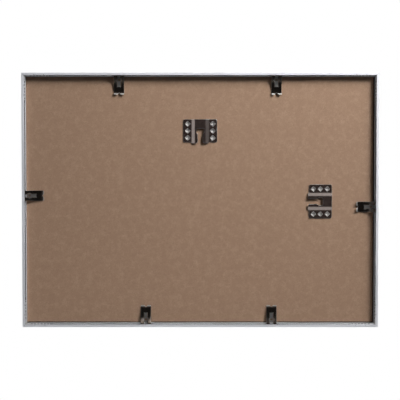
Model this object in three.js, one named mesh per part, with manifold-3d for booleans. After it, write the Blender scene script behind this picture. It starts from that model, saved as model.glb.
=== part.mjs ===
// Aluminium photo frame for a landscape or portrait picture, loaded from the back.
// Millimetres, +Z up. +X runs along the long side, the glass faces +Y and the back faces -Y.
// The origin is the middle of the frame. Left and right are as seen from behind.
import * as THREE from 'three';
import { mergeVertices } from 'three/addons/utils/BufferGeometryUtils.js';
import Module from 'manifold-3d';

const wasm = await Module();
wasm.setup();

// Picture format, and the play of the contents in the rails
const formatWidth = 420;
const formatHeight = 297;
const contentsClearance = 0.6;
const boardShift = 0.35; // the board lies pushed into the top left corner
const boardTrim = 0.5; // taken off its right and lower edges
const sheetMargin = 1.5; // the sheet is cut smaller than the glass all round
const seatGap = 0.1; // air between sheets that lie on each other

// Stack from the front face to the rear
const faceThickness = 1.6;
const glassThickness = 2;
const sheetThickness = 0.4;
const boardThickness = 3;
const recessDepth = 7.2; // from the board back to the rear plane
const glassChamfer = 0.3;

// Rail section
const faceWidth = 9.6;
const wallThickness = 1.2;
const flangeReach = 3.2; // rear flange, from the outer face inward
const flangeThickness = 1.2;
const channelHeight = 3; // between flange and ledge, with room over the lip for keys and clip tails
const ledgeReach = 4.6;
const ledgeThickness = 1.2;
const lipThickness = 0.7; // lip along the ledge's edge, with a groove between it and the wall
const lipRise = 0.9;
const lipRadius = 0.2;
const outerRadius = 0.6;
const innerRadius = 0.3;
const mitreGap = 0.2;

// Corner keys, held by stakes that are punched down from the flange
const keyClearance = 0.3;
const keyLeg = 33; // from the outer corner to the end of a leg
const keyInset = 0.2; // the key stays behind the ledge's edge
const stakePlaces = [15, 27]; // from the outer corner
const toothPitch = 4; // the legs are toothed along their bare edge, with a gap over each stake
const toothGap = 2.2;
const toothDepth = 1;
const toothStart = 8; // from the outer corner; the crook stays whole
const toothEnd = 0.6; // leg left whole past the last gap
const stakeInset = 0.2; // stake centre, behind the flange's edge
const stakeRadius = 0.75;
const stakeDepth = 0.9; // below the flange
const dimpleDepth = 0.9;

// Spring clips
const clipWidth = 12.4;
const clipThickness = 0.5;
const clipGap = 0.15;
const clipTailGap = 0.5; // tail tip to the wall at the bottom of the channel
const clipCrestLead = 0.8; // crest, inward of the flange's edge
const clipCrestRise = 0.15; // crest, above the underside of the flange
const clipKneePlace = 10.8; // places are from the outer face inward
const clipKneeRise = 2.4; // rises are above the board
const clipHeelPlace = 21.6;
const clipNosePlace = 26.2;
const clipNoseRise = 2.3;
const clipBend = 1.4; // length of strip taken up by half a bend
const clipCornerRadius = 0.9;
const notchWidth = 4.2;
const notchDepth = 2.6;
const eyePlace = 8.6;
const eyeRadius = 2.8;
const eyeHoleRadius = 1.5;
const tongueWidth = 3.6;
const tongueRoot = 17;
const tongueStep = 1.6; // length of the step down at the tongue's root
const tongueBend = 0.6;
const tongueGap = 0.5; // saw cut round the tongue
const tongueRise = 0.8; // underside of the tongue, above the board
const clipPlaces = {
  clip_top_left: { side: 'top', along: -98 },
  clip_top_right: { side: 'top', along: 92 },
  clip_left: { side: 'left', along: 5.5 },
  clip_right: { side: 'right', along: -8 },
  clip_bottom_left: { side: 'bottom', along: -66 },
  clip_bottom_right: { side: 'bottom', along: 86.5 },
};

// Hangers: a plate bridged in the middle, with a nail slot that is open at its lower end
const hangerWidth = 41;
const hangerHeight = 27.8;
const hangerThickness = 0.7;
const hangerCorner = 2;
const hangerEdgeDistance = 67; // from the frame's outer edge to the nail seat
const portraitDrop = 1.5; // portrait hanger, below the middle of its side
const bridgeBase = 21.6;
const bridgeTop = 12;
const bridgeRise = 1.8;
const bridgeBend = 0.9;
const seatToTop = 11.2; // from the nail seat to the closed end of the plate
const legOverhang = 1.2;
const legRadius = 1.8;
const slotWidth = 9.4;
const slotHeight = 4.6;
const slotTaper = 2.6;
const throatWidth = 6.2;
const studColumn = 15.2; // half the distance between the columns of clinched studs
const studPitch = 8.4;
const studRows = [-1, 0, 1];
const studMouth = 2.9; // half diagonals of the four-sided funnel
const studWaist = 0.9;
const studTip = 1.9;
const studWall = 0.75;
const studWaistDepth = 1.8; // below the board's rear face
const studTipStop = 0.1; // studs end short of the board's front face
const studClearance = 0.3;

const arcSteps = 4;
const bendSteps = 6;
const roundSides = 20;
const studSides = 4;
const cutLength = 60; // cuts run right through the piece, and past it on both sides

// Places through the depth, from the front face back
const glassFront = faceThickness + seatGap;
const sheetFront = glassFront + glassThickness + seatGap;
const boardFront = sheetFront + sheetThickness + seatGap;
const boardRear = boardFront + boardThickness;
const frameDepth = boardRear + recessDepth;
const flangeUnder = frameDepth - flangeThickness;
const ledgeTop = flangeUnder - channelHeight;
const ledgeUnder = ledgeTop - ledgeThickness;
const lipTop = ledgeTop + lipRise;

// Slopes of the studs' funnels, towards the mouth and towards the tip
const studMouthSlope = (studMouth - studWaist) / (studWaistDepth + seatGap + hangerThickness);
const studTipSlope = (studTip - studWaist) / (boardThickness - studTipStop - studWaistDepth);

// Outer size, and the four sides as turns about Y of a side that lies at the bottom
const rebateReach = ledgeReach + contentsClearance;
const outerWidth = formatWidth + 2 * rebateReach;
const outerHeight = formatHeight + 2 * rebateReach;
const sides = {
  bottom: { turn: 0, length: outerWidth, offset: outerHeight / 2, along: 1 },
  right: { turn: -Math.PI / 2, length: outerHeight, offset: outerWidth / 2, along: 1 },
  top: { turn: Math.PI, length: outerWidth, offset: outerHeight / 2, along: -1 },
  left: { turn: Math.PI / 2, length: outerHeight, offset: outerWidth / 2, along: -1 },
};

const finishes = {
  anodised: { color: 0xb9bbbe, roughness: 0.38, metalness: 1 },
  zinc: { color: 0x9a9a98, roughness: 0.45, metalness: 1 },
  glass: { color: 0xdfe9e6, roughness: 0.05, metalness: 0, transparent: true, opacity: 0.3 },
  paper: { color: 0xeeece6, roughness: 0.85, metalness: 0 },
  fibreboard: { color: 0x8f7560, roughness: 0.85, metalness: 0 },
  darkSteel: { color: 0x3a3532, roughness: 0.25, metalness: 1 },
};

// Points of a geometry moved to new places, one by one
function remap(geometry, place) {
  const position = geometry.attributes.position;
  for (let i = 0; i < position.count; i += 1) {
    position.setXYZ(i, ...place(position.getX(i), position.getY(i), position.getZ(i)));
  }
  return geometry;
}

function solidOf(geometry) {
  const bare = geometry.clone();
  bare.deleteAttribute('normal');
  bare.deleteAttribute('uv');
  const merged = mergeVertices(bare);
  const vertProperties = new Float32Array(merged.attributes.position.array);
  const triVerts = new Uint32Array(merged.index.array);
  return new wasm.Manifold(new wasm.Mesh({ numProp: 3, vertProperties, triVerts }));
}

function geometryOf(solid) {
  const mesh = solid.getMesh();
  const geometry = new THREE.BufferGeometry();
  geometry.setAttribute('position', new THREE.BufferAttribute(mesh.vertProperties, 3));
  geometry.setIndex(new THREE.BufferAttribute(mesh.triVerts, 1));
  geometry.computeVertexNormals();
  return geometry;
}

function piece(name, geometry, finish) {
  const mesh = new THREE.Mesh(geometry, new THREE.MeshStandardMaterial(finishes[finish]));
  mesh.name = name;
  return mesh;
}

// Closed outline through corners of [x, y, radius]; a corner with no radius stays sharp
function outline(corners, target = new THREE.Shape()) {
  const count = corners.length;
  corners.forEach(([x, y, radius = 0], i) => {
    const corner = new THREE.Vector2(x, y);
    const before = new THREE.Vector2(...corners[(i + count - 1) % count]);
    const after = new THREE.Vector2(...corners[(i + 1) % count]);
    const enter = before.sub(corner).setLength(radius).add(corner);
    const leave = after.sub(corner).setLength(radius).add(corner);
    if (i === 0) target.moveTo(enter.x, enter.y);
    else target.lineTo(enter.x, enter.y);
    if (radius > 0) target.quadraticCurveTo(x, y, leave.x, leave.y);
  });
  target.closePath();
  return target;
}

// Side view of a bent strip: a line through corners, rounded at its bends and given a thickness
function stripOutline(corners, bend, thickness) {
  const points = corners.map(([x, y]) => new THREE.Vector2(x, y));
  const path = new THREE.Path().moveTo(points[0].x, points[0].y);
  for (let i = 1; i < points.length - 1; i += 1) {
    const enter = points[i - 1].clone().sub(points[i]).setLength(bend).add(points[i]);
    const leave = points[i + 1].clone().sub(points[i]).setLength(bend).add(points[i]);
    path.lineTo(enter.x, enter.y);
    path.quadraticCurveTo(points[i].x, points[i].y, leave.x, leave.y);
  }
  path.lineTo(points.at(-1).x, points.at(-1).y);
  const line = path.getPoints(bendSteps);
  const offset = (sign) => line.map((point, i) => {
    const along = line[Math.min(i + 1, line.length - 1)].clone().sub(line[Math.max(i - 1, 0)]);
    const normal = new THREE.Vector2(-along.y, along.x).setLength(sign * thickness / 2);
    return point.clone().add(normal);
  });
  return new THREE.Shape([...offset(-1), ...offset(1).reverse()]);
}

// A shape of the side view (inward, from front to rear), run along its side for a length
function sideExtrusion(shape, length) {
  const geometry = new THREE.ExtrudeGeometry(shape, { depth: length, bevelEnabled: false });
  return remap(geometry, (u, v, s) => [s - length / 2, frameDepth / 2 - v, u]);
}

// A plan shape, seen from behind with x across and z up, run through the depth
function planCut(shape) {
  const prism = new THREE.ExtrudeGeometry(shape, {
    depth: cutLength, bevelEnabled: false, curveSegments: arcSteps,
  });
  return solidOf(remap(prism, (x, z, depth) => [x, cutLength / 2 - depth, z]));
}

// A round pin through the depth, between two places from front to rear
function depthPin(radius, front, rear, along, inward) {
  const pin = new THREE.CylinderGeometry(radius, radius, rear - front, roundSides);
  return pin.translate(along, (frameDepth - front - rear) / 2, inward);
}

function railSection() {
  const section = outline([
    [0, 0, outerRadius],
    [faceWidth, 0, outerRadius],
    [faceWidth, faceThickness, innerRadius],
    [ledgeReach, faceThickness],
    [ledgeReach, lipTop, lipRadius],
    [ledgeReach - lipThickness, lipTop, lipRadius],
    [ledgeReach - lipThickness, ledgeTop],
    [wallThickness, ledgeTop],
    [wallThickness, flangeUnder],
    [flangeReach, flangeUnder, innerRadius],
    [flangeReach, frameDepth, innerRadius],
    [0, frameDepth, outerRadius],
  ]);
  const chamber = outline([
    [wallThickness, faceThickness],
    [wallThickness, ledgeUnder],
    [ledgeReach - wallThickness, ledgeUnder],
    [ledgeReach - wallThickness, faceThickness],
  ], new THREE.Path());
  section.holes.push(chamber);
  return section;
}

// A mitred rail, with a stake and its punch mark over each seat of the corner keys
function rail({ length }) {
  const bar = new THREE.ExtrudeGeometry(railSection(), {
    depth: 1, bevelEnabled: false, curveSegments: arcSteps,
  });
  remap(bar, (u, v, end) => {
    const reach = length / 2 - u - mitreGap / 2;
    return [end > 0 ? reach : -reach, frameDepth / 2 - v, u];
  });
  let solid = solidOf(bar);
  const inward = flangeReach - stakeInset;
  for (const place of stakePlaces) {
    for (const end of [-1, 1]) {
      const along = end * (length / 2 - place);
      const stakeTop = flangeUnder + flangeThickness / 2;
      const stake = depthPin(stakeRadius, flangeUnder - stakeDepth, stakeTop, along, inward);
      const dimple = depthPin(stakeRadius, frameDepth - dimpleDepth, cutLength, along, inward);
      solid = solid.add(solidOf(stake)).subtract(solidOf(dimple));
    }
  }
  return geometryOf(solid);
}

// An L of two legs in the channels of neighbouring rails, drawn with its outer corner at the origin
function cornerKey() {
  const low = wallThickness + keyClearance;
  const high = ledgeReach - keyInset;
  const front = lipTop + keyClearance;
  const rear = flangeUnder - keyClearance;
  const firstGap = Math.ceil((toothStart + toothGap / 2 - stakePlaces[0]) / toothPitch);
  const lastGap = Math.floor((keyLeg - toothEnd - toothGap / 2 - stakePlaces[0]) / toothPitch);
  const teeth = [];
  for (let count = lastGap; count >= firstGap; count -= 1) {
    const place = stakePlaces[0] + count * toothPitch;
    const near = place - toothGap / 2;
    const far = place + toothGap / 2;
    teeth.push([far, high], [far, high - toothDepth], [near, high - toothDepth], [near, high]);
  }
  const shape = outline([
    [low, low, innerRadius],
    [keyLeg, low, innerRadius],
    [keyLeg, high, innerRadius],
    ...teeth,
    [high, high],
    ...teeth.map(([x, z]) => [z, x]).reverse(),
    [high, keyLeg, innerRadius],
    [low, keyLeg, innerRadius],
  ]);
  const plate = new THREE.ExtrudeGeometry(shape, {
    depth: rear - front, bevelEnabled: false, curveSegments: arcSteps,
  });
  remap(plate, (x, z, v) => [x, frameDepth / 2 - front - v, z]);
  let solid = solidOf(plate);
  const inward = flangeReach - stakeInset;
  const pocketFront = flangeUnder - stakeDepth - keyClearance;
  for (const place of stakePlaces) {
    for (const [x, z] of [[place, inward], [inward, place]]) {
      const pocket = depthPin(stakeRadius + keyClearance, pocketFront, frameDepth, x, z);
      solid = solid.subtract(solidOf(pocket));
    }
  }
  return geometryOf(solid);
}

function glassPane() {
  const shape = outline([
    [-formatWidth / 2, -formatHeight / 2],
    [formatWidth / 2, -formatHeight / 2],
    [formatWidth / 2, formatHeight / 2],
    [-formatWidth / 2, formatHeight / 2],
  ]);
  const pane = new THREE.ExtrudeGeometry(shape, {
    depth: glassThickness - 2 * glassChamfer,
    bevelThickness: glassChamfer,
    bevelSize: glassChamfer,
    bevelOffset: -glassChamfer,
    bevelSegments: 1,
  });
  return remap(pane, (x, z, v) => [x, frameDepth / 2 - glassFront - glassChamfer - v, z]);
}

function insertSheet() {
  const width = formatWidth - 2 * sheetMargin;
  const height = formatHeight - 2 * sheetMargin;
  const sheet = new THREE.BoxGeometry(width, sheetThickness, height);
  return sheet.translate(0, frameDepth / 2 - sheetFront - sheetThickness / 2, 0);
}

// Places of the clinched studs in a hanger's own frame: x across, z up, both from the nail seat
function studSpots() {
  const middle = seatToTop - hangerHeight / 2;
  return [-studColumn, studColumn].flatMap((x) => (
    studRows.map((row) => new THREE.Vector3(x, 0, middle + row * studPitch))
  ));
}

// Four-sided hourglass round a stud's axis, grown outward, between two heights over the board
function hourglass(spot, grow, front, rear) {
  const waist = studWaist + grow;
  const tip = waist + studTipSlope * (-front - studWaistDepth);
  const mouth = waist + studMouthSlope * (rear + studWaistDepth);
  const profile = [[0, front], [tip, front], [waist, -studWaistDepth], [mouth, rear], [0, rear]];
  const points = profile.map(([radius, height]) => new THREE.Vector2(radius, height));
  const body = remap(new THREE.LatheGeometry(points, studSides), (x, height, z) => [x, -height, -z]);
  return body.translate(spot.x, spot.y, spot.z);
}

// Where each hanger's nail seat lies on the board, and how the hanger is turned
const hangers = {
  hanger_landscape: { x: 0, z: outerHeight / 2 - hangerEdgeDistance, turn: 0 },
  hanger_portrait: { x: outerWidth / 2 - hangerEdgeDistance, z: -portraitDrop, turn: Math.PI / 2 },
};

function backboard() {
  const left = -formatWidth / 2 - boardShift;
  const top = formatHeight / 2 + boardShift;
  const right = formatWidth / 2 - boardShift - boardTrim;
  const bottom = -formatHeight / 2 + boardShift + boardTrim;
  const shape = outline([[left, bottom], [right, bottom], [right, top], [left, top]]);
  const slab = new THREE.ExtrudeGeometry(shape, { depth: boardThickness, bevelEnabled: false });
  remap(slab, (x, z, v) => [x, frameDepth / 2 - boardFront - v, z]);
  let solid = solidOf(slab);
  for (const { x, z, turn } of Object.values(hangers)) {
    for (const spot of studSpots()) {
      const hole = hourglass(spot, studWall + studClearance, -2 * boardThickness, boardThickness);
      hole.rotateY(turn).translate(x, frameDepth / 2 - boardRear, z);
      solid = solid.subtract(solidOf(hole));
    }
  }
  return geometryOf(solid);
}

// Plan of a hanger: two flat wings and a bridge whose legs stand out below them
function hangerPlan() {
  const wing = hangerWidth / 2;
  const leg = bridgeBase / 2;
  const low = seatToTop - hangerHeight;
  const feet = low - legOverhang;
  return outline([
    [-wing, low, hangerCorner],
    [-leg, low],
    [-leg, feet, legOverhang],
    [leg, feet, legOverhang],
    [leg, low],
    [wing, low, hangerCorner],
    [wing, seatToTop, hangerCorner],
    [-wing, seatToTop, hangerCorner],
  ]);
}

// Plan of the nail slot: a wide head at the seat, a throat, and round ends on the legs
function slotPlan() {
  const head = slotWidth / 2;
  const throat = throatWidth / 2;
  const mouth = throat + legRadius;
  const feet = seatToTop - hangerHeight - legOverhang;
  return outline([
    [-head, 0],
    [-head, -slotHeight, innerRadius],
    [-throat, -slotHeight - slotTaper, innerRadius],
    [-throat, feet, legRadius],
    [-mouth, feet],
    [-mouth, 2 * feet],
    [mouth, 2 * feet],
    [mouth, feet],
    [throat, feet, legRadius],
    [throat, -slotHeight - slotTaper, innerRadius],
    [head, -slotHeight, innerRadius],
    [head, 0],
  ]);
}

// Drawn with its nail seat over the origin and the board's rear face at y = 0
function hanger() {
  const middle = seatGap + hangerThickness / 2;
  const hat = stripOutline([
    [-hangerWidth, middle],
    [-bridgeBase / 2, middle],
    [-bridgeTop / 2, middle + bridgeRise],
    [bridgeTop / 2, middle + bridgeRise],
    [bridgeBase / 2, middle],
    [hangerWidth, middle],
  ], bridgeBend, hangerThickness);
  const strip = new THREE.ExtrudeGeometry(hat, { depth: cutLength, bevelEnabled: false });
  remap(strip, (x, height, z) => [x, -height, cutLength / 2 - z]);
  let solid = solidOf(strip).intersect(planCut(hangerPlan())).subtract(planCut(slotPlan()));
  const tip = studTipStop - boardThickness;
  for (const spot of studSpots()) {
    const funnel = hourglass(spot, studWall, tip, middle);
    const bore = hourglass(spot, 0, 2 * tip, 2 * middle + hangerThickness);
    solid = solid.add(solidOf(funnel)).subtract(solidOf(bore));
  }
  return geometryOf(solid);
}

// Side view of a clip, from the tail in the channel over the crest to the nose on the board
function clipLine() {
  const half = clipThickness / 2;
  return [
    [wallThickness + clipTailGap, lipTop + clipGap + half],
    [flangeReach + clipCrestLead, flangeUnder + clipCrestRise],
    [clipKneePlace, boardRear + clipKneeRise],
    [clipHeelPlace, boardRear + clipGap + half],
    [clipNosePlace, boardRear + clipNoseRise],
  ];
}

function clipPlan() {
  const half = clipWidth / 2;
  return outline([
    [-half, -clipNosePlace],
    [half, -clipNosePlace],
    [half, clipNosePlace, clipCornerRadius],
    [notchWidth / 2, clipNosePlace, innerRadius],
    [0, clipNosePlace - notchDepth, innerRadius],
    [-notchWidth / 2, clipNosePlace, innerRadius],
    [-half, clipNosePlace, clipCornerRadius],
  ]);
}

// Keyhole outline of the tongue, or of the window round it, with its eye towards the rail
function keyhole(radius, width, root) {
  const meet = Math.sqrt(radius ** 2 - (width / 2) ** 2);
  const turn = Math.atan2(meet, width / 2);
  const shape = new THREE.Shape();
  shape.moveTo(width / 2, root);
  shape.lineTo(width / 2, eyePlace + meet);
  shape.absarc(0, eyePlace, radius, turn, Math.PI - turn, true);
  shape.lineTo(-width / 2, root);
  shape.closePath();
  return shape;
}

function clip() {
  const half = clipThickness / 2;
  const line = clipLine();
  const [, , knee, heel] = line;
  const strip = solidOf(sideExtrusion(stripOutline(line, clipBend, clipThickness), clipWidth));
  const window = keyhole(eyeRadius + tongueGap, tongueWidth + 2 * tongueGap, tongueRoot);
  const slope = (heel[1] - knee[1]) / (heel[0] - knee[0]);
  const rootHeight = (place) => knee[1] + slope * (place - knee[0]);
  const level = boardRear + tongueRise + half;
  const tongueLine = [
    [eyePlace - 2 * eyeRadius, level],
    [tongueRoot - tongueStep, level],
    [tongueRoot, rootHeight(tongueRoot)],
    [tongueRoot + tongueStep, rootHeight(tongueRoot + tongueStep)],
  ];
  const tongueStrip = sideExtrusion(stripOutline(tongueLine, tongueBend, clipThickness), clipWidth);
  const tonguePlan = keyhole(eyeRadius, tongueWidth, tongueRoot + tongueStep / 2);
  tonguePlan.holes.push(new THREE.Path().absarc(0, eyePlace, eyeHoleRadius, 0, 2 * Math.PI));
  const tongue = solidOf(tongueStrip).intersect(planCut(tonguePlan));
  const blank = strip.intersect(planCut(clipPlan()));
  return geometryOf(blank.subtract(planCut(window)).add(tongue));
}

const frame = new THREE.Group();

for (const [name, side] of Object.entries(sides)) {
  const group = new THREE.Group();
  group.rotation.y = side.turn;
  const bar = piece(`${name}_rail`, rail(side), 'anodised');
  bar.position.z = -side.offset;
  group.add(bar);
  for (const [clipName, { side: home, along }] of Object.entries(clipPlaces)) {
    if (home !== name) continue;
    const spring = piece(clipName, clip(), 'darkSteel');
    spring.position.set(side.along * along, 0, -side.offset);
    group.add(spring);
  }
  frame.add(group);
}

const keyCorners = {
  corner_key_bottom_left: [-1, -1, 0],
  corner_key_bottom_right: [1, -1, -Math.PI / 2],
  corner_key_top_right: [1, 1, Math.PI],
  corner_key_top_left: [-1, 1, Math.PI / 2],
};
for (const [name, [x, z, turn]] of Object.entries(keyCorners)) {
  const key = piece(name, cornerKey(), 'zinc');
  key.position.set(x * outerWidth / 2, 0, z * outerHeight / 2);
  key.rotation.y = turn;
  frame.add(key);
}

frame.add(piece('glass_pane', glassPane(), 'glass'));
frame.add(piece('insert_sheet', insertSheet(), 'paper'));
frame.add(piece('backboard', backboard(), 'fibreboard'));

for (const [name, { x, z, turn }] of Object.entries(hangers)) {
  const plate = piece(name, hanger(), 'darkSteel');
  plate.position.set(x, frameDepth / 2 - boardRear, z);
  plate.rotation.y = turn;
  frame.add(plate);
}

export default frame;
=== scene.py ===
import math
import bmesh
import bpy
from mathutils import Matrix, Vector


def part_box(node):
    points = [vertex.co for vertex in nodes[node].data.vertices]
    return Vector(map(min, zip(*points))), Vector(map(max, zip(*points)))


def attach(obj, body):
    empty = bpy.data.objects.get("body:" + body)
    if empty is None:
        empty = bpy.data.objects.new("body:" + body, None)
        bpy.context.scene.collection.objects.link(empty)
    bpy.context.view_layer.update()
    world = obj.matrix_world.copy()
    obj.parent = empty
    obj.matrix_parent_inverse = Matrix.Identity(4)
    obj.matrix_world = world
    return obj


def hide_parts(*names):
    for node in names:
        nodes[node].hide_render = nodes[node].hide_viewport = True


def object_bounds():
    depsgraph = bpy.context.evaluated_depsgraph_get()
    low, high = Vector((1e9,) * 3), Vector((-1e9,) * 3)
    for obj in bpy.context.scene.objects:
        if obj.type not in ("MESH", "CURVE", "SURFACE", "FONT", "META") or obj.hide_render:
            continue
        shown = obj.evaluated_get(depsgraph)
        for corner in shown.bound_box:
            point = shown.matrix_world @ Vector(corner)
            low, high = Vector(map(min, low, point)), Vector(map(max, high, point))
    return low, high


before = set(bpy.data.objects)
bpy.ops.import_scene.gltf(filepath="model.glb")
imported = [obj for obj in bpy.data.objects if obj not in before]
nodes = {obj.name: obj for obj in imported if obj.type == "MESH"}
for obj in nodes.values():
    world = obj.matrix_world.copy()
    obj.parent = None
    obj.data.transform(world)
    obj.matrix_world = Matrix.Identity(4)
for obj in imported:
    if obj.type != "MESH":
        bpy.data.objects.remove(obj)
cadLow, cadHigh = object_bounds()
scene = bpy.context.scene
scene.view_settings.view_transform = "Standard"
mm = 0.001
rear = Vector((0, -1, 0))  # the back of the frame faces the camera


# node helpers: a value is a number, a colour or another node's output
def addNode(tree, kind, **settings):
    node = tree.nodes.new("ShaderNode" + kind)
    for key, value in settings.items():
        setattr(node, key, value)
    return node


def feed(tree, socket, value):
    if isinstance(value, bpy.types.NodeSocket):
        tree.links.new(value, socket)
    else:
        socket.default_value = value


def joined(tree, operation, first, second=0, **settings):
    node = addNode(tree, "Math", operation=operation, **settings)
    feed(tree, node.inputs[0], first)
    feed(tree, node.inputs[1], second)
    return node.outputs[0]


def ranged(tree, value, low, high, start=0, end=1, **settings):
    # what goes from start to end comes out as low to high, and stops there
    node = addNode(tree, "MapRange", **settings)
    limits = {"From Min": start, "From Max": end, "To Min": low, "To Max": high}
    for name, limit in limits.items():
        feed(tree, node.inputs[name], limit)
    feed(tree, node.inputs["Value"], value)
    return node.outputs[0]


def eased(tree, value, start, end):
    return ranged(tree, value, 0, 1, start, end, interpolation_type="SMOOTHSTEP")


def folded(tree, operation, values, **settings):
    result = values[0]
    for value in values[1:]:
        result = joined(tree, operation, result, value, **settings)
    return result


def anyRay(tree, *kinds):
    # 1 for a ray of one of these kinds, and 0 for others
    paths = addNode(tree, "LightPath")
    return folded(tree, "ADD", [paths.outputs[kind] for kind in kinds], use_clamp=True)


def blended(tree, share, first, second):
    node = addNode(tree, "MixShader")
    feed(tree, node.inputs["Fac"], share)
    tree.links.new(first.outputs[0], node.inputs[1])
    tree.links.new(second.outputs[0], node.inputs[2])
    return node


def showSurface(tree, shader):
    tree.links.new(shader.outputs[0], tree.nodes["Material Output"].inputs["Surface"])


# studio: camera, white surroundings, a pale floor well below and soft lamps
studio = {
    "distance": 1.5,  # camera to the middle of the frame, m
    "elevation": 2.3,  # degrees
    "lens": 111.4,
    "sensor": 36,
    "aim": Vector((-0.0003, 0, 0.0002)),
    "fill": 0.025,  # light from all round, where 1 is white
    "dimRoom": 0.085,  # what metal mirrors behind the camera
    "ringInner": (28, 38),  # degrees off the rear axis where a ring of light comes in
    "ringOuter": (53, 45),  # and where it has gone and is still full
    "ringLean": (-0.9, 0, -0.1),  # brighter this way
    "ringLevel": 0.7,
    "paleFrom": (98, 118),  # degrees; the room in front of the frame is pale
    "paleRoom": 0.6,
}


def addCamera():
    tilt = math.radians(studio["elevation"])
    back = Vector((0, -math.cos(tilt), math.sin(tilt)))
    lens = bpy.data.cameras.new("camera")
    lens.lens = studio["lens"]
    lens.sensor_width = studio["sensor"]
    camera = bpy.data.objects.new("camera", lens)
    camera.location = studio["aim"] + back * studio["distance"]
    camera.rotation_euler = (-back).to_track_quat("-Z", "Y").to_euler()
    scene.collection.objects.link(camera)
    scene.camera = camera


def addWorld():
    world = bpy.data.worlds.new("studioWhite")
    world.use_nodes = True
    tree = world.node_tree
    way = addNode(tree, "TexCoord").outputs["Generated"]

    def along(axis):
        facing = addNode(tree, "VectorMath", operation="DOT_PRODUCT")
        feed(tree, facing.inputs[0], way)
        feed(tree, facing.inputs[1], axis)
        return facing.outputs["Value"]

    def edge(key):
        start, end = [math.cos(math.radians(angle)) for angle in studio[key]]
        return eased(tree, along(rear), start, end)

    lean = joined(tree, "ADD", along(studio["ringLean"]), studio["ringLevel"])
    lean = joined(tree, "MINIMUM", joined(tree, "MAXIMUM", lean, 0), studio["ringLevel"])
    ring = folded(tree, "MULTIPLY", [edge("ringInner"), edge("ringOuter"), lean])
    pale = joined(tree, "MULTIPLY", edge("paleFrom"), studio["paleRoom"])
    room = folded(tree, "ADD", [ring, pale, studio["dimRoom"]])
    bounces = addNode(tree, "LightPath").outputs["Glossy Depth"]
    mirrored = joined(tree, "MINIMUM", bounces, 1)
    shown = ranged(tree, mirrored, 1, room)  # plain white, or the room where metal mirrors it
    seen = anyRay(tree, "Is Camera Ray", "Is Glossy Ray", "Is Transmission Ray")
    background = tree.nodes["Background"]
    background.inputs["Color"].default_value = (1, 1, 1, 1)
    feed(tree, background.inputs["Strength"], ranged(tree, seen, studio["fill"], shown))
    scene.world = world


paleFloor = {
    "drop": 0.146,  # below the bottom rail, just out of the camera's view
    "reach": (0.8, 0.27),  # half its width and depth
    "sides": 96,
    "colour": (0.9, 0.9, 0.89, 1),
    "roughness": 0.9,
    "white": 0.78,  # share of plain white that is seen in it
    "fade": (0.4, 0.98),  # shares of the reach between which its edge melts into the white
}


def addFloor():
    mesh = bpy.data.meshes.new("floor")
    disc = bmesh.new()
    bmesh.ops.create_circle(disc, cap_ends=True, segments=paleFloor["sides"], radius=1)
    disc.to_mesh(mesh)
    disc.free()
    floor = bpy.data.objects.new("floor", mesh)
    floor.location.z = cadLow.z - paleFloor["drop"]
    floor.scale = (*paleFloor["reach"], 1)
    material = bpy.data.materials.new("paleFloor")
    material.use_nodes = True
    tree = material.node_tree
    pale = tree.nodes["Principled BSDF"]
    pale.inputs["Base Color"].default_value = paleFloor["colour"]
    pale.inputs["Roughness"].default_value = paleFloor["roughness"]
    seen = anyRay(tree, "Is Camera Ray", "Is Glossy Ray")
    share = joined(tree, "MULTIPLY", seen, paleFloor["white"])
    whitened = blended(tree, share, pale, addNode(tree, "Emission"))
    reach = addNode(tree, "VectorMath", operation="LENGTH")
    feed(tree, reach.inputs[0], addNode(tree, "TexCoord").outputs["Object"])
    fade = eased(tree, reach.outputs["Value"], *paleFloor["fade"])
    showSurface(tree, blended(tree, fade, whitened, addNode(tree, "BsdfTransparent")))
    mesh.materials.append(material)
    scene.collection.objects.link(floor)


lamps = {
    "keyLamp": {
        "place": (1.1, -0.8, 1.32),  # metres
        "aim": (0.32, 0, 0.5),
        "size": (0.72, 0.9),
        "spread": 50,  # degrees
        "watts": 9.4,
    },
    "topLamp": {
        "place": (-0.14, -0.91, 0.94),
        "aim": (0, 0, 0),
        "size": (0.36, 0.2),
        "spread": 180,
        "watts": 0.8,
    },
    "frontLamp": {
        "place": (-0.9, 1.2, 0.9),
        "aim": (0, 0, 0),
        "size": (0.8, 0.8),
        "spread": 180,
        "watts": 32,
    },
}


def addLamps():
    for name, settings in lamps.items():
        light = bpy.data.lights.new(name, "AREA")
        light.shape = "RECTANGLE"
        light.size, light.size_y = settings["size"]
        light.spread = math.radians(settings["spread"])
        light.energy = settings["watts"]
        lamp = bpy.data.objects.new(name, light)
        lamp.location = settings["place"]
        behind = rear.dot(lamp.location) > 0
        lamp.visible_glossy = behind  # the glass in front mirrors no lamp
        lamp.visible_transmission = behind
        facing = Vector(settings["aim"]) - lamp.location
        lamp.rotation_euler = facing.to_track_quat("-Z", "Y").to_euler()
        scene.collection.objects.link(lamp)


addCamera()
addWorld()
addFloor()
addLamps()
print("studio ready:", len(lamps), "lamps")


# finishes: each is one material with its own grain
oneGrain = (0.3, 0.7)  # where nearly all of a noise's values lie
twoGrains = (0.7, 1.3)  # and those of two noises added


def newFinish(name):
    material = bpy.data.materials.new(name)
    material.use_nodes = True
    return material, material.node_tree, material.node_tree.nodes["Principled BSDF"]


def dress(tree, shader, **looks):
    # a plain word for each of the shader's sockets that is used here
    names = {
        "colour": "Base Color",
        "roughness": "Roughness",
        "metal": "Metallic",
        "specular": "Specular IOR Level",
        "index": "IOR",
        "clear": "Transmission Weight",
    }
    for look, value in looks.items():
        feed(tree, shader.inputs[names[look]], value)


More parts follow.
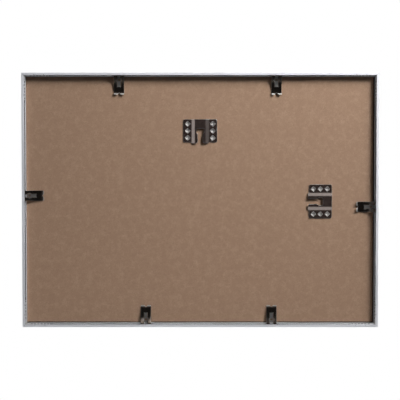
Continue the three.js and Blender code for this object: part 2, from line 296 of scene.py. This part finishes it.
def placeOf(tree, stretch=(1, 1, 1), turn=(0, 0, 0)):
    spot = addNode(tree, "TexCoord")
    mapping = addNode(tree, "Mapping", vector_type="TEXTURE")  # turned first, then stretched
    mapping.inputs["Scale"].default_value = [1 / cells for cells in stretch]
    mapping.inputs["Rotation"].default_value = turn
    tree.links.new(spot.outputs["Object"], mapping.inputs["Vector"])
    return mapping.outputs[0]


def grain(tree, place, scale, detail=3, rough=0.55):
    noise = addNode(tree, "TexNoise")
    noise.inputs["Scale"].default_value = scale
    noise.inputs["Detail"].default_value = detail
    noise.inputs["Roughness"].default_value = rough
    tree.links.new(place, noise.inputs["Vector"])
    return noise.outputs["Fac"]


def mixed(tree, share, first, second):
    node = addNode(tree, "Mix", data_type="RGBA")  # its colours are inputs 6 and 7 and output 2
    tree.links.new(share, node.inputs[0])
    for socket, colour in ((node.inputs[6], first), (node.inputs[7], second)):
        isLink = isinstance(colour, bpy.types.NodeSocket)
        feed(tree, socket, colour if isLink else (*colour, 1))
    return node.outputs[2]


def raised(tree, shader, height, depth):
    bump = addNode(tree, "Bump")
    bump.inputs["Distance"].default_value = depth
    bump.inputs["Strength"].default_value = 1
    tree.links.new(height, bump.inputs["Height"])
    tree.links.new(bump.outputs[0], shader.inputs["Normal"])


grooves = {
    "samples": 8,
    "open": (0.3, 0.6),  # share of open sky where the painted shade is full and where it is gone
}


def shaded(tree, colour, reach, dark):
    # painted shade: metal deep in a groove is darkened by how little open sky it sees
    shelter = addNode(tree, "AmbientOcclusion", samples=grooves["samples"])
    shelter.inputs["Distance"].default_value = reach
    return mixed(tree, ranged(tree, shelter.outputs["AO"], 0, 1, *grooves["open"]), dark, colour)


aluminium = {
    "dark": (0.685, 0.693, 0.73),
    "light": (0.785, 0.793, 0.835),
    # painted shade: near black deep in the rail's grooves and beside the board
    "groove": (0.05, 0.045, 0.045),
    "grooveReach": 0.004,
    "metal": 0.7,  # the clear oxide layer scatters the rest
    "roughness": (0.46, 0.58),
    "dulled": (0.25, 0.75),  # grain values for these
    "lineLength": 14,  # grain cells per metre along the rail
    "lineWidth": 2600,  # and across it
    "lineDetail": 4,
    "lineRough": 0.6,
    "lineDepth": 0.000012,
    "cloud": 22,
    "cloudDetail": 2,
}


def drawnAluminium(name, axis):
    material, tree, shader = newFinish(name)
    stretch = [aluminium["lineWidth"]] * 3
    stretch["xyz".index(axis)] = aluminium["lineLength"]
    place = placeOf(tree, stretch)
    lines = grain(tree, place, 1, aluminium["lineDetail"], aluminium["lineRough"])
    cloud = grain(tree, placeOf(tree), aluminium["cloud"], aluminium["cloudDetail"])
    tone = ranged(tree, joined(tree, "ADD", lines, cloud), 0, 1, *twoGrains)
    unshadedTone = mixed(tree, tone, aluminium["dark"], aluminium["light"])
    dress(
        tree, shader,
        # painted shade in the grooves
        colour=shaded(tree, unshadedTone, aluminium["grooveReach"], aluminium["groove"]),
        roughness=ranged(tree, lines, *aluminium["roughness"], *aluminium["dulled"]),
        metal=aluminium["metal"],
    )
    raised(tree, shader, lines, aluminium["lineDepth"])
    return material


zinc = {
    "dark": (0.52, 0.52, 0.53),
    "light": (0.70, 0.70, 0.69),
    "roughness": (0.42, 0.6),
    "spangle": 420,  # cells per metre
    "speckle": 900,
    "toned": (0.1, 0.4),  # spangle times speckle, from dark to light
    # painted shade: near black deep in the keys' hollows
    "groove": (0.03, 0.03, 0.03),
    "grooveReach": 0.003,
}


def zincPlate():
    material, tree, shader = newFinish("zincPlate")
    cells = addNode(tree, "TexVoronoi")
    cells.inputs["Scale"].default_value = zinc["spangle"]
    tree.links.new(placeOf(tree), cells.inputs["Vector"])
    speckle = grain(tree, placeOf(tree), zinc["speckle"])
    tone = joined(tree, "MULTIPLY", cells.outputs["Distance"], speckle)
    unshadedTone = mixed(tree, ranged(tree, tone, 0, 1, *zinc["toned"]), zinc["dark"], zinc["light"])
    dress(
        tree, shader,
        # painted shade in the hollows
        colour=shaded(tree, unshadedTone, zinc["grooveReach"], zinc["groove"]),
        roughness=ranged(tree, speckle, *zinc["roughness"], *oneGrain),
        metal=1,
    )
    return material


glass = {
    "tint": (0.985, 0.995, 0.99),
    "rim": (0.02, 0.035, 0.03),  # painted shade: the pane's ground rim in the rebate is near black, so the gap beside the board stays dark
    "rimWidth": 0.0035,
    "index": 1.5,
}


def floatGlass():
    material, tree, shader = newFinish("floatGlass")
    spot = addNode(tree, "SeparateXYZ")
    tree.links.new(addNode(tree, "TexCoord").outputs["Object"], spot.inputs[0])
    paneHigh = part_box("glass_pane")[1]  # the pane lies about the frame's middle

    def pastRim(axis, edge):
        away = joined(tree, "ABSOLUTE", spot.outputs[axis])
        return joined(tree, "GREATER_THAN", away, edge - glass["rimWidth"])

    # painted shade: a near-black band round the pane's edge
    rim = joined(tree, "MAXIMUM", pastRim("X", paneHigh.x), pastRim("Z", paneHigh.z))
    dress(
        tree, shader,
        colour=mixed(tree, rim, glass["tint"], glass["rim"]),
        roughness=0,
        index=glass["index"],
        clear=1,
    )
    light = anyRay(tree, "Is Shadow Ray", "Is Diffuse Ray")
    passing = addNode(tree, "BsdfTransparent")
    passing.inputs["Color"].default_value = (*glass["tint"], 1)
    showSurface(tree, blended(tree, light, shader, passing))  # lamps and room shine on the sheet
    return material


paper = {
    "dark": (0.78, 0.77, 0.735),
    "light": (0.86, 0.85, 0.82),
    "roughness": 0.88,
    "fibre": 700,  # cells per metre
    "fibreDetail": 4,
    "fibreDepth": 0.00003,
    "cloud": 60,
    "toned": (0.6, 1.4),  # fibre and cloud added, from dark to light
}


def insertPaper():
    material, tree, shader = newFinish("insertPaper")
    fibre = grain(tree, placeOf(tree), paper["fibre"], paper["fibreDetail"])
    cloud = grain(tree, placeOf(tree), paper["cloud"])
    tone = ranged(tree, joined(tree, "ADD", fibre, cloud), 0, 1, *paper["toned"])
    dress(
        tree, shader,
        colour=mixed(tree, tone, paper["dark"], paper["light"]),
        roughness=paper["roughness"],
    )
    raised(tree, shader, fibre, paper["fibreDepth"])
    return material


fibreboard = {
    "base": (0.255, 0.161, 0.106),
    "pale": (0.325, 0.217, 0.148),
    "dark": (0.18, 0.108, 0.068),
    "roughness": 0.82,
    "specular": 0.25,
    "fibreLength": 240,  # cells per metre along a fibre
    "fibreWidth": 1300,
    "fibreDetail": 3,
    "fibreRough": 0.6,
    "turns": (0.3, 1.35, 2.4),  # fibres lie three ways
    "fibres": (0.52, 0.8),  # grain values from the base to a pale fibre
    "fibreShare": 0.95,
    "pits": (0.2, 0.44),  # grain values from a dark pit to none
    "pitShare": 0.8,
    "blotches": (130, 55),  # cells per metre
    "blotchShare": (0.40, 0.18),
    "fibreDepth": 0.00006,
}


def rawFibreboard():
    material, tree, shader = newFinish("rawFibreboard")
    stretch = (fibreboard["fibreLength"], 1, fibreboard["fibreWidth"])
    layers = []
    for turn in fibreboard["turns"]:
        place = placeOf(tree, stretch, (0, turn, 0))
        layers.append(grain(tree, place, 1, fibreboard["fibreDetail"], fibreboard["fibreRough"]))
    mat = folded(tree, "MAXIMUM", layers)
    pits = folded(tree, "MINIMUM", layers)
    pale = ranged(tree, mat, 0, fibreboard["fibreShare"], *fibreboard["fibres"])
    for cells, share in zip(fibreboard["blotches"], fibreboard["blotchShare"]):
        blotch = ranged(tree, grain(tree, placeOf(tree), cells), -share, share, *oneGrain)
        pale = joined(tree, "ADD", pale, blotch)
    tone = mixed(tree, pale, fibreboard["base"], fibreboard["pale"])
    shade = ranged(tree, pits, fibreboard["pitShare"], 0, *fibreboard["pits"])
    dress(
        tree, shader,
        colour=mixed(tree, shade, tone, fibreboard["dark"]),
        roughness=fibreboard["roughness"],
        specular=fibreboard["specular"],
    )
    raised(tree, shader, joined(tree, "ADD", mat, pits), fibreboard["fibreDepth"])
    return material


darkMetal = {
    "plate": (0.28, 0.20, 0.175),
    "plateLight": (0.37, 0.27, 0.24),
    # rubbed metal on the tongues and noses, and painted sheen for the noses' glint and the hangers'
    # slopes
    "wearAndSheenColour": (0.42, 0.41, 0.39),
    "spring": (0.052, 0.041, 0.034),
    "springLight": (0.088, 0.07, 0.059),
    "roughness": (0.12, 0.22),
    "wornRoughness": 0.4,
    "cloud": 260,  # cells per metre
    "scratchLength": 120,
    "scratchWidth": 2400,
    "scratchTurn": 0.7,  # radians
    "wornShare": (0.65, 1.0),
}


def darkSheet(name, dark, light):
    material, tree, shader = newFinish(name)
    cloud = grain(tree, placeOf(tree), darkMetal["cloud"])
    stretch = (darkMetal["scratchLength"], 1, darkMetal["scratchWidth"])
    scratch = grain(tree, placeOf(tree, stretch, (0, darkMetal["scratchTurn"], 0)), 1)
    tone = mixed(tree, ranged(tree, cloud, 0, 1, *oneGrain), dark, light)
    # share of rubbed metal and painted sheen, read from the sheet
    wearAndSheenShare = addNode(tree, "Attribute", attribute_name="wearAndSheen").outputs["Fac"]
    patchy = ranged(tree, scratch, *darkMetal["wornShare"], *oneGrain)
    share = joined(tree, "MULTIPLY", wearAndSheenShare, patchy)
    bothGrains = joined(tree, "ADD", cloud, scratch)
    dull = ranged(tree, bothGrains, *darkMetal["roughness"], *twoGrains)
    duller = joined(tree, "MULTIPLY", wearAndSheenShare, darkMetal["wornRoughness"])
    dress(
        tree, shader,
        colour=mixed(tree, share, tone, darkMetal["wearAndSheenColour"]),
        roughness=joined(tree, "MAXIMUM", dull, duller),
        metal=1,
    )
    return material


bareMetal = {
    "edge": (0.30, 0.29, 0.28),
    "edgeLight": (0.52, 0.51, 0.50),
    "edgeMetal": 1,
    "pierced": (0.14, 0.132, 0.128),
    "piercedLight": (0.36, 0.34, 0.325),
    "piercedMetal": 0.3,  # dull from the press
    "speckle": 900,  # cells per metre
    "roughness": (0.42, 0.56),
}


def bareSteel(name, kind):
    material, tree, shader = newFinish(name)
    speckle = grain(tree, placeOf(tree), bareMetal["speckle"])
    tone = ranged(tree, speckle, 0, 1, *oneGrain)
    dress(
        tree, shader,
        colour=mixed(tree, tone, bareMetal[kind], bareMetal[kind + "Light"]),
        roughness=ranged(tree, speckle, *bareMetal["roughness"], *oneGrain),
        metal=bareMetal[kind + "Metal"],
    )
    return material


railsAlongX = drawnAluminium("aluminiumAlongX", "x")
railsAlongZ = drawnAluminium("aluminiumAlongZ", "z")
keyFinish = zincPlate()
edgeFinish = bareSteel("wornEdge", "edge")
piercedFinish = bareSteel("piercedSteel", "pierced")
plateFinish = darkSheet("darkNickelPlate", darkMetal["plate"], darkMetal["plateLight"])
springFinish = darkSheet("darkSpringSteel", darkMetal["spring"], darkMetal["springLight"])

nodeFinishes = {
    "top_rail": railsAlongX,
    "bottom_rail": railsAlongX,
    "left_rail": railsAlongZ,
    "right_rail": railsAlongZ,
    "corner_key_top_left": keyFinish,
    "corner_key_top_right": keyFinish,
    "corner_key_bottom_left": keyFinish,
    "corner_key_bottom_right": keyFinish,
    "glass_pane": floatGlass(),
    "insert_sheet": insertPaper(),
    "backboard": rawFibreboard(),
}
for name, finish in nodeFinishes.items():
    for holder in nodes[name].material_slots:
        holder.material = finish
print("finishes set on", len(nodeFinishes), "nodes")


# sheet metal: a cut plan with a rounded rim, bent along its second coordinate, all in millimetres
sheetMetal = {
    "cornerSteps": 6,
    "bendSteps": 10,
    "rimSteps": 3,
    "sharpest": 0.5,  # least cosine, which keeps a rim from running far out at a sharp corner
    "weld": 1e-5,  # cuts closer than this to a corner run through it
    "slopeStep": 0.01,  # length over which a bend's slope is taken
}


def arc(centre, radius, first, last, steps):
    angles = [first + (last - first) * i / steps for i in range(steps + 1)]
    return [Vector(centre) + radius * Vector((math.cos(a), math.sin(a))) for a in angles]


def roundedLoop(corners):
    # corners are (x, y, radius)
    loop = []
    for i, (x, y, radius) in enumerate(corners):
        here = Vector((x, y))
        before = (Vector(corners[i - 1][:2]) - here).normalized()
        after = (Vector(corners[(i + 1) % len(corners)][:2]) - here).normalized()
        half = before.angle(after) / 2
        centre = here + (before + after).normalized() * radius / math.sin(half)
        run = radius / math.tan(half)
        start = here + before * run - centre
        end = here + after * run - centre
        first = math.atan2(start.y, start.x)
        sweep = (math.atan2(end.y, end.x) - first + math.pi) % (2 * math.pi) - math.pi
        loop += arc(centre, radius, first, first + sweep, sheetMetal["cornerSteps"])
    return loop


def offsetLoop(loop, distance):
    moved = []
    for i, here in enumerate(loop):
        into = (here - loop[i - 1]).normalized()
        away = (loop[(i + 1) % len(loop)] - here).normalized()
        normal = Vector((-into.y - away.y, into.x + away.x)).normalized()
        spread = max(sheetMetal["sharpest"], normal.dot(Vector((-into.y, into.x))))
        moved.append(here + normal * distance / spread)
    return moved


def bentLine(corners):
    # corners are (place, height, half run of the bend); returns the height and the cutting places
    def height(place):
        for i in range(1, len(corners)):
            x, y, run = corners[i]
            if place <= x + run or i == len(corners) - 1:
                x0, y0, _ = corners[i - 1]
                slope = (y - y0) / (x - x0)
                if place < x - run or i == len(corners) - 1:
                    return y + slope * (place - x)
                x1, y1, _ = corners[i + 1]
                turn = (y1 - y) / (x1 - x) - slope
                return y + slope * (place - x) + turn * (place - x + run) ** 2 / (4 * run)

    steps = sheetMetal["bendSteps"]
    shares = [2 * k / steps - 1 for k in range(steps + 1)]
    cuts = [x + run * share for x, _, run in corners[1:-1] for share in shares]
    return height, cuts


def cutSheet(outline, holes, thickness, rim):
    sheet = bmesh.new()
    half = thickness / 2
    steps = sheetMetal["rimSteps"]
    turns = [k / steps * math.pi / 2 for k in range(steps + 1)]
    rings = [(rim * (1 - math.sin(a)), half - rim * (1 - math.cos(a))) for a in turns]
    rings += [(inset, -level) for inset, level in reversed(rings)]
    rows = []
    for loop in [outline] + holes:
        loopRows = []
        for inset, level in rings:
            loopRows.append([sheet.verts.new((*p, level)) for p in offsetLoop(loop, inset)])
        rows.append(loopRows)
    for loopRows in rows:
        for upper, lower in zip(loopRows, loopRows[1:]):
            for i in range(len(upper)):
                j = (i + 1) % len(upper)
                sheet.faces.new((upper[i], lower[i], lower[j], upper[j])).material_index = 1  # bare edge
    for side in (0, -1):
        edges = []
        for loopRows in rows:
            ring = loopRows[side]
            edges += [sheet.edges.get((ring[i - 1], ring[i])) for i in range(len(ring))]
        bmesh.ops.triangle_fill(sheet, use_beauty=True, edges=edges)
    bmesh.ops.recalc_face_normals(sheet, faces=sheet.faces)
    return sheet


def cutAcross(sheet, places):
    for place in sorted(set(places)):
        bmesh.ops.bisect_plane(
            sheet,
            geom=sheet.verts[:] + sheet.edges[:] + sheet.faces[:],
            dist=sheetMetal["weld"],
            plane_co=(0, place, 0),
            plane_no=(0, 1, 0),
        )


def bend(sheet, heightAt, wearAndSheenAt):
    # share of rubbed metal and painted sheen at each point
    wearAndSheenShare = sheet.verts.layers.float.new("wearAndSheen")
    step = sheetMetal["slopeStep"]
    for vert in sheet.verts:
        across, along, level = vert.co
        rise = (heightAt(across, along + step) - heightAt(across, along - step)) / (2 * step)
        normal = Vector((0, -rise, 1)).normalized()
        vert[wearAndSheenShare] = wearAndSheenAt(across, along, rise)
        vert.co = Vector((across, along, heightAt(across, along))) + normal * level


def addPiece(name, sheet, place, finishes):
    bmesh.ops.transform(sheet, matrix=place, verts=sheet.verts)
    mesh = bpy.data.meshes.new(name)
    sheet.to_mesh(mesh)
    sheet.free()
    for finish in finishes:
        mesh.materials.append(finish)
    mesh.shade_smooth()
    piece = bpy.data.objects.new(name, mesh)
    scene.collection.objects.link(piece)
    even = piece.modifiers.new("evenShading", "WEIGHTED_NORMAL")
    even.keep_sharp = True
    return piece


def framePlace(origin, across, along):
    # local millimetres to the frame: across, along, and rearwards from the board or the front
    turn = Matrix((across, along, rear)).transposed().to_4x4()
    return Matrix.Translation(origin) @ turn @ Matrix.Scale(mm, 4)


# spring clips: tail under the rail's flange, crest, knee, heel on the board and a curled, notched nose
clip = {
    "width": 12.4,
    "thickness": 0.5,
    "rim": 0.1,
    "line": [  # from the rail's outer face, height over the front face, half run of the bend
        (1.7, 11.6, 0),  # tail
        (4.0, 13.42, 0.9),  # crest
        (10.8, 9.7, 2.4),  # knee
        (21.6, 7.72, 1.8),  # heel
        (24.6, 8.45, 0.7),  # curl
        (26.2, 9.6, 0),  # nose
    ],
    "tailCorner": 0.4,
    "noseCorner": 1.1,
    "noseFrom": 24.9,  # rubbed bare, with a painted glint, from here
    "noseFade": 0.3,
    # rubbed metal and painted glint on the nose
    "noseWearAndGlint": 1.4,
    "notchWidth": 4.2,
    "notchDepth": 2.6,
    "notchCorner": 0.5,
    "notchRoot": 0.7,
    "eye": 8.6,
    "eyeRadius": 2.8,
    "eyeHole": 1.5,
    "eyeSteps": 28,
    "holeSides": 24,
    "tongueWidth": 3.6,
    "tongueRoot": 17.0,
    "tongueGap": 0.5,
    "tongueLevel": 8.35,
    "tongueStep": 1.8,
    "tongueBend": 0.8,
    "rootBend": 0.6,
    "tongueBurnish": 0.85,
}
inwardFrom = {
    "top": Vector((0, 0, -1)),
    "bottom": Vector((0, 0, 1)),
    "left": Vector((1, 0, 0)),
    "right": Vector((-1, 0, 0)),
}


def clipOutline():
    half = clip["width"] / 2
    tail = clip["line"][0][0]
    nose = clip["line"][-1][0]
    notch = clip["notchWidth"] / 2
    return roundedLoop([
        (-half, tail, clip["tailCorner"]),
        (half, tail, clip["tailCorner"]),
        (half, nose, clip["noseCorner"]),
        (notch, nose, clip["notchCorner"]),
        (0, nose - clip["notchDepth"], clip["notchRoot"]),
        (-notch, nose, clip["notchCorner"]),
        (-half, nose, clip["noseCorner"]),
    ])


def tongueSlot():
    root = clip["tongueRoot"]
    middle = Vector((0, clip["eye"]))
    inner = clip["tongueWidth"] / 2
    outer = inner + clip["tongueGap"]
    wide = clip["eyeRadius"] + clip["tongueGap"]
    openAt = math.acos(outer / wide)
    closeAt = math.acos(inner / clip["eyeRadius"])
    loop = [Vector((outer, root))]
    loop += arc(middle, wide, openAt, -math.pi - openAt, clip["eyeSteps"])
    loop += [Vector((-outer, root)), Vector((-inner, root))]
    loop += arc(middle, clip["eyeRadius"], -math.pi - closeAt, closeAt, clip["eyeSteps"])
    loop.append(Vector((inner, root)))
    return loop


def eyeHole():
    sides = clip["holeSides"]
    wholeTurn = 2 * math.pi
    return arc((0, clip["eye"]), clip["eyeHole"], wholeTurn, wholeTurn / sides, sides - 1)


def makeClip(node):
    side = node.split("_")[1]
    low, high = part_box(node)
    inward = inwardFrom[side]
    middle = (low + high) / 2
    outerFace = [cadLow[i] if inward[i] > 0 else cadHigh[i] for i in range(3)]
    origin = Vector([outerFace[i] if inward[i] else middle[i] for i in range(3)])
    origin.y = cadHigh.y  # heights are measured from the front face
    bodyHeight, cuts = bentLine(clip["line"])
    root = clip["tongueRoot"]
    step = clip["tongueStep"]
    tongueHeight, tongueCuts = bentLine([
        (0, clip["tongueLevel"], 0),
        (root - step, clip["tongueLevel"], clip["tongueBend"]),
        (root, bodyHeight(root), clip["rootBend"]),
        (root + step, bodyHeight(root + step), 0),
    ])

    def onTongue(across, along):
        near = clip["tongueGap"] / 2
        inEye = math.hypot(across, along - clip["eye"]) < clip["eyeRadius"] + near
        return along < root and (abs(across) < clip["tongueWidth"] / 2 + near or inEye)

    def heightAt(across, along):
        return tongueHeight(along) if onTongue(across, along) else bodyHeight(along)

    def wearAndSheenAt(across, along, rise):
        # the nose: rubbed metal and painted glint
        if along > clip["noseFrom"]:
            return clip["noseWearAndGlint"]
        return clip["tongueBurnish"] if onTongue(across, along) else 0.0

    sheet = cutSheet(clipOutline(), [tongueSlot(), eyeHole()], clip["thickness"], clip["rim"])
    cutAcross(sheet, cuts + tongueCuts + [clip["noseFrom"], clip["noseFrom"] + clip["noseFade"]])
    bend(sheet, heightAt, wearAndSheenAt)
    place = framePlace(origin, inward.cross(rear), inward)
    piece = addPiece(node + "_spring", sheet, place, [springFinish, edgeFinish])
    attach(piece, node)
    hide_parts(node)


clipNodes = sorted(name for name in nodes if name.startswith("clip_"))
for name in clipNodes:
    makeClip(name)
print("clips made:", len(clipNodes))


# hangers: two flat wings on the board, a raised bridge with the nail slot, and six pierced studs
hanger = {
    "width": 41.0,
    "height": 27.8,
    "thickness": 0.7,
    "rim": 0.16,
    "gap": 0.1,  # over the board
    "corner": 2.0,
    "bridgeBase": 21.6,
    "bridgeTop": 12.0,
    "bridgeRise": 1.8,
    "bridgeBend": 1.0,
    "seatToTop": 11.2,
    "legOverhang": 1.2,
    "legInside": 1.8,  # radius of a leg's end beside the throat
    "legOutside": 0.8,  # and at its outer side, as a share of the overhang
    "legRoot": 0.2,
    "slotWidth": 9.4,
    "slotHeight": 4.6,
    "slotTaper": 2.6,
    "slotCorner": 0.5,
    "slotShoulder": 0.4,
    "throatWidth": 6.2,
    "throatCorner": 0.5,
    # painted sheen on the bridge's slopes
    "slopeSheen": 0.5,
}
stud = {
    "column": 15.2,
    "pitch": 8.4,
    "mouth": 2.9,
    "waist": 0.6,
    "tip": 1.9,
    "waistDepth": 1.8,
    "tipDepth": 2.9,
    "wall": 0.5,
    "dish": 0.6,  # shallow bowl round the hole
    "round": 1.12,  # 1 is a sharp diamond, 2 a circle
    "sides": 32,
    "holeGap": 0.15,
    "lip": (0.3, 0.2),  # out from the mouth and down from the plate's face
    "crown": (0.1, 0.12),
    "brink": (-0.2, 0.28),
    "underside": (0.05, 0.62),
    "bowl": (0.35, -0.15),  # out from the waist and down from the dish
    "hole": (0, 0.2),
}
hangerTurns = {
    "hanger_landscape": (Vector((1, 0, 0)), Vector((0, 0, 1))),
    "hanger_portrait": (Vector((0, 0, -1)), Vector((1, 0, 0))),
}


def hangerOutline():
    wing = hanger["width"] / 2
    leg = hanger["bridgeBase"] / 2
    top = hanger["seatToTop"]
    low = top - hanger["height"]
    feet = low - hanger["legOverhang"]
    head = hanger["slotWidth"] / 2
    throat = hanger["throatWidth"] / 2
    shoulder = -hanger["slotHeight"]
    neck = shoulder - hanger["slotTaper"]
    right = [
        (throat, neck, hanger["throatCorner"]),
        (throat, feet, hanger["legInside"]),
        (leg, feet, hanger["legOverhang"] * hanger["legOutside"]),
        (leg, low, hanger["legRoot"]),
        (wing, low, hanger["corner"]),
        (wing, top, hanger["corner"]),
    ]
    left = [(-x, z, radius) for x, z, radius in reversed(right)]
    slot = [
        (-head, shoulder, hanger["slotShoulder"]),
        (-head, 0, hanger["slotCorner"]),
        (head, 0, hanger["slotCorner"]),
        (head, shoulder, hanger["slotShoulder"]),
    ]
    return roundedLoop(right + left + slot)


def studSpots():
    middle = hanger["seatToTop"] - hanger["height"] / 2
    columns = (-stud["column"], stud["column"])
    rows = [middle + row * stud["pitch"] for row in (-1, 0, 1)]
    return [Vector((x, z)) for x in columns for z in rows]


def diamond(spot, radius):
    power = stud["round"]
    loop = []
    for i in range(stud["sides"]):
        angle = -2 * math.pi * i / stud["sides"]
        x, z = math.cos(angle), math.sin(angle)
        reach = (abs(x) ** power + abs(z) ** power) ** (-1 / power)
        loop.append(spot + Vector((x, z)) * radius * reach)
    return loop


def onSide(loop):
    # a sheet bends along its second coordinate, so the hanger's plan is laid on its side
    return [Vector((-p.y, p.x)) for p in loop]


def addStud(sheet, spot, face):
    # a funnel pressed through the plate and flared behind the board's skin
    mouth, waist, tip, wall = stud["mouth"], stud["waist"], stud["tip"], stud["wall"]
    deep, end = -stud["waistDepth"], -stud["tipDepth"]
    dish = face - stud["dish"]

    def beside(radius, level, key):
        out, down = stud[key]
        return radius + out, level - down

    profile = [
        beside(mouth, face, "lip"),
        beside(mouth, face, "crown"),
        beside(mouth, face, "brink"),
        beside(waist, dish, "bowl"),
        beside(waist, dish, "hole"),
        (waist, deep),
        (tip - wall, end),
        (tip, end),
        (waist + wall, deep),
        (waist + wall, dish - wall),
        beside(mouth, face, "underside"),
    ]
    rings = []
    for radius, level in profile:
        rings.append([sheet.verts.new((*p, level)) for p in onSide(diamond(spot, radius))])
    for upper, lower in zip(rings, rings[1:] + rings[:1]):
        for i in range(len(upper)):
            j = (i + 1) % len(upper)
            sheet.faces.new((upper[j], lower[j], lower[i], upper[i])).material_index = 2  # pierced


def makeHanger(node):
    across, up = hangerTurns[node]
    low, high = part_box(node)
    middle = (low + high) / 2
    topEdge = Vector([high[i] if up[i] > 0 else middle[i] for i in range(3)])
    origin = topEdge - up * hanger["seatToTop"] * mm
    origin.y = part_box("backboard")[0].y
    wingLevel = hanger["gap"] + hanger["thickness"] / 2
    bridgeLevel = wingLevel + hanger["bridgeRise"]
    base, crown, wing = hanger["bridgeBase"] / 2, hanger["bridgeTop"] / 2, hanger["width"] / 2
    run = hanger["bridgeBend"]
    heightAlong, cuts = bentLine([
        (-wing, wingLevel, 0),
        (-base, wingLevel, run),
        (-crown, bridgeLevel, run),
        (crown, bridgeLevel, run),
        (base, wingLevel, run),
        (wing, wingLevel, 0),
    ])
    steepest = hanger["bridgeRise"] / (base - crown)

    def heightAt(across, along):
        return heightAlong(along)

    # painted sheen: lighter where the bridge's slope is steeper
    def wearAndSheenAt(across, along, rise):
        return hanger["slopeSheen"] * (abs(rise) / steepest) ** 2

    holes = [onSide(diamond(spot, stud["mouth"] + stud["holeGap"])) for spot in studSpots()]
    sheet = cutSheet(onSide(hangerOutline()), holes, hanger["thickness"], hanger["rim"])
    cutAcross(sheet, cuts)
    bend(sheet, heightAt, wearAndSheenAt)
    for spot in studSpots():
        addStud(sheet, spot, wingLevel + hanger["thickness"] / 2)
    place = framePlace(origin, -up, across)
    piece = addPiece(node + "_plate", sheet, place, [plateFinish, edgeFinish, piercedFinish])
    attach(piece, "frame")
    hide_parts(node)


for name in hangerTurns:
    makeHanger(name)
print("hangers made:", len(hangerTurns))
